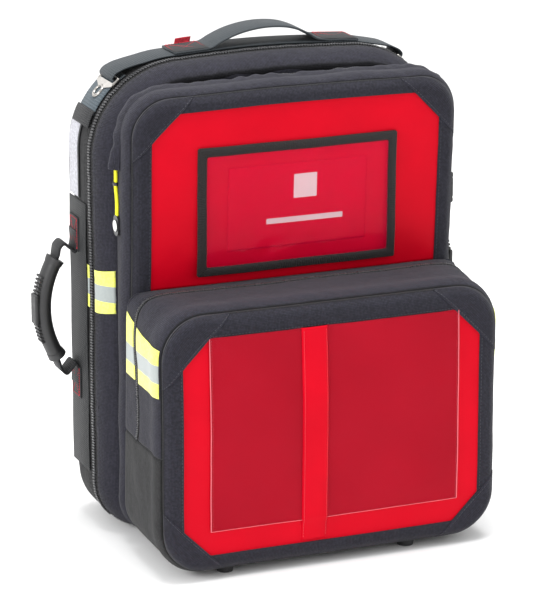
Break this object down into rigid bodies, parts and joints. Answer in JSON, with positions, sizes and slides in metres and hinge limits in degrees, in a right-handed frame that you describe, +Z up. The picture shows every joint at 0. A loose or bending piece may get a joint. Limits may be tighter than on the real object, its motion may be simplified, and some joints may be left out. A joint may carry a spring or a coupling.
{
  "type": "trauma backpack",
  "caption": "Clamshell trauma backpack with a full-height front compartment, a deep lower pocket with clear windows, grab handles, reflective bands and padded shoulder straps.",
  "frame": {"origin": "middle of the underside of the base panel, on the plane the pack stands on", "axes": "+Z up, +Y towards the wearer's back, X across the pack"},
  "size_m": [0.4904, 0.3378, 0.532],
  "materials": {
    "grey_nylon": "woven nylon, neutral dark grey",
    "charcoal_nylon": "woven nylon, bluish charcoal",
    "spacer_mesh": "padded spacer mesh",
    "red_tarpaulin": "red coated tarpaulin, semi-gloss",
    "reflective_tape": "fluorescent yellow and silver reflective tape",
    "slate_webbing": "slate webbing",
    "zipper_black": "black coil zipper and tape",
    "black_binding": "black binding tape",
    "frosted_film": "frosted translucent film",
    "clear_film": "clear film",
    "card_paper": "plain card",
    "frame_plastic": "polyethylene sheet",
    "stay_aluminium": "plain",
    "black_plastic": "moulded",
    "black_metal": "black",
    "nickel": "nickel plate",
    "grip_rubber": "moulded rubber",
    "foot_rubber": "moulded rubber",
    "yellow_cord": "braided cord"
  },
  "bodies": {
    "pack_body": {"rear_shell_gusset": "grey_nylon", "back_panel": "spacer_mesh", "frame_sheet": "frame_plastic", "frame_stays": "stay_aluminium", "base_panel": "grey_nylon", "base_board": "frame_plastic", "inner_divider": "grey_nylon", "back_pads": "spacer_mesh", "strap_yoke": "grey_nylon", "main_zipper_shell_side": "zipper_black", "rear_reflective_trim": "reflective_tape", "top_webbing": "slate_webbing", "side_webbing": "slate_webbing", "stitched_patches": "slate_webbing", "ladder_locks": "black_plastic"},
    "main_zip_slider": {"main_slider": "black_metal"},
    "main_zip_pull": {"main_pull": "black_metal"},
    "lid": {"lid_gusset": "charcoal_nylon", "lid_panel": "charcoal_nylon", "main_zipper_lid_side": "zipper_black", "lid_reflective_bands": "reflective_tape", "front_gusset_rear": "charcoal_nylon", "front_gusset": "charcoal_nylon", "front_panel": "charcoal_nylon", "pocket_zipper_tapes": "zipper_black", "front_storm_flap": "charcoal_nylon", "id_window_binding": "black_binding", "id_window": "clear_film", "id_card": "card_paper", "upper_red_panel": "red_tarpaulin", "lower_tub": "grey_nylon", "lower_gusset_rear": "grey_nylon", "lower_front_panel": "charcoal_nylon", "front_feet": "foot_rubber"},
    "front_flap": {"front_flap_gusset": "charcoal_nylon", "front_flap_panel": "charcoal_nylon"},
    "lower_flap": {"lower_flap_gusset": "grey_nylon", "lower_flap_panel": "charcoal_nylon", "lower_red_panel": "red_tarpaulin", "clear_windows": "frosted_film", "flap_reflective_bands": "reflective_tape"},
    "front_zip_slider_left": {"front_slider_left": "black_metal"},
    "front_zip_pull_left": {"pull_strand_front": "yellow_cord", "pull_strand_rear": "yellow_cord", "pull_tab": "black_plastic"},
    "front_zip_slider_right": {"front_slider_right": "black_metal"},
    "front_zip_pull_right": {"moulded_puller": "black_plastic"},
    "lower_zip_slider": {"lower_slider": "black_metal"},
    "lower_zip_pull": {"lower_pull": "black_metal"},
    "top_handle_body": {"top_handle": "slate_webbing"},
    "side_handle_left": {"side_grip_left": "grip_rubber", "side_handle_webbing_left": "slate_webbing"},
    "side_handle_right": {"side_grip_right": "grip_rubber", "side_handle_webbing_right": "slate_webbing"},
    "hook_left": {"strap_hook_left": "nickel"},
    "hook_right": {"strap_hook_right": "nickel"},
    "shoulder_strap_left": {"shoulder_pad_left": "spacer_mesh", "shoulder_webbing_left": "slate_webbing"},
    "shoulder_strap_right": {"shoulder_pad_right": "spacer_mesh", "shoulder_webbing_right": "slate_webbing"}
  },
  "joints": [
    {"name": "lid_hinge", "type": "hinge", "parent": "pack_body", "child": "lid", "pos_m": [0, -0.038, 0.0024], "axis": [1, 0, 0], "range_deg": [0, 120]},
    {"name": "front_flap_hinge", "type": "hinge", "parent": "lid", "child": "front_flap", "pos_m": [0, -0.13205, 0.438], "axis": [1, 0, 0], "range_deg": [0, 85], "deforming": ["upper_red_panel"]},
    {"name": "lower_flap_hinge", "type": "hinge", "parent": "lid", "child": "lower_flap", "pos_m": [0, -0.23, 0.135], "axis": [1, 0, 0], "range_deg": [0, 105], "deforming": ["lower_red_panel", "clear_windows"]},
    {"name": "top_handle_hinge", "type": "hinge", "parent": "pack_body", "child": "top_handle_body", "pos_m": [0.008, -0.007, 0.508], "axis": [1, 0, 0], "range_deg": [-35, 35]},
    {"name": "side_handle_left_hinge", "type": "hinge", "parent": "pack_body", "child": "side_handle_left", "pos_m": [-0.198, 0.012, 0.237], "axis": [0, 0, 1], "range_deg": [-32, 32]},
    {"name": "side_handle_right_hinge", "type": "hinge", "parent": "pack_body", "child": "side_handle_right", "pos_m": [0.198, 0.012, 0.237], "axis": [0, 0, 1], "range_deg": [-32, 32]},
    {"name": "hook_left_hinge", "type": "hinge", "parent": "pack_body", "child": "hook_left", "pos_m": [-0.16014, -0.007, 0.48815], "axis": [0, 1, 0], "range_deg": [0, 110]},
    {"name": "hook_right_hinge", "type": "hinge", "parent": "pack_body", "child": "hook_right", "pos_m": [0.16014, -0.007, 0.48815], "axis": [0, -1, 0], "range_deg": [0, 110]},
    {"name": "main_zip_slide", "type": "slide", "parent": "pack_body", "child": "main_zip_slider", "axis": [0, 0, 1], "range_m": [0, 0.3]},
    {"name": "main_pull_hinge", "type": "hinge", "parent": "main_zip_slider", "child": "main_zip_pull", "pos_m": [0.1998, -0.038, 0.093], "axis": [0, -1, 0], "range_deg": [0, 80]},
    {"name": "lower_zip_slide", "type": "slide", "parent": "lid", "child": "lower_zip_slider", "axis": [0, 0, 1], "range_m": [0, 0.06]},
    {"name": "lower_pull_hinge", "type": "hinge", "parent": "lower_zip_slider", "child": "lower_zip_pull", "pos_m": [0.1936, -0.156, 0.168], "axis": [0, -1, 0], "range_deg": [0, 80]},
    {"name": "front_zip_slide_left", "type": "slide", "parent": "lid", "child": "front_zip_slider_left", "axis": [0, 0, 1], "range_m": [0, 0.012]},
    {"name": "front_pull_left_hinge", "type": "hinge", "parent": "front_zip_slider_left", "child": "front_zip_pull_left", "pos_m": [-0.187, -0.093, 0.4113], "axis": [0, 1, 0], "range_deg": [0, 60]},
    {"name": "front_zip_slide_right", "type": "slide", "parent": "lid", "child": "front_zip_slider_right", "axis": [0, 0, 1], "range_m": [0, 0.012]},
    {"name": "front_pull_right_hinge", "type": "hinge", "parent": "front_zip_slider_right", "child": "front_zip_pull_right", "pos_m": [0.1873, -0.093, 0.4113], "axis": [0, -1, 0], "range_deg": [0, 60]},
    {"name": "shoulder_strap_left_hinge", "type": "hinge", "parent": "pack_body", "child": "shoulder_strap_left", "pos_m": [-0.077, 0.0465, 0.47], "axis": [0.1858, -0.0114, 0.9825], "range_deg": [-10, 10]},
    {"name": "shoulder_strap_right_hinge", "type": "hinge", "parent": "pack_body", "child": "shoulder_strap_right", "pos_m": [0.077, 0.0465, 0.47], "axis": [-0.1858, -0.0114, 0.9825], "range_deg": [-10, 10]}
  ]
}
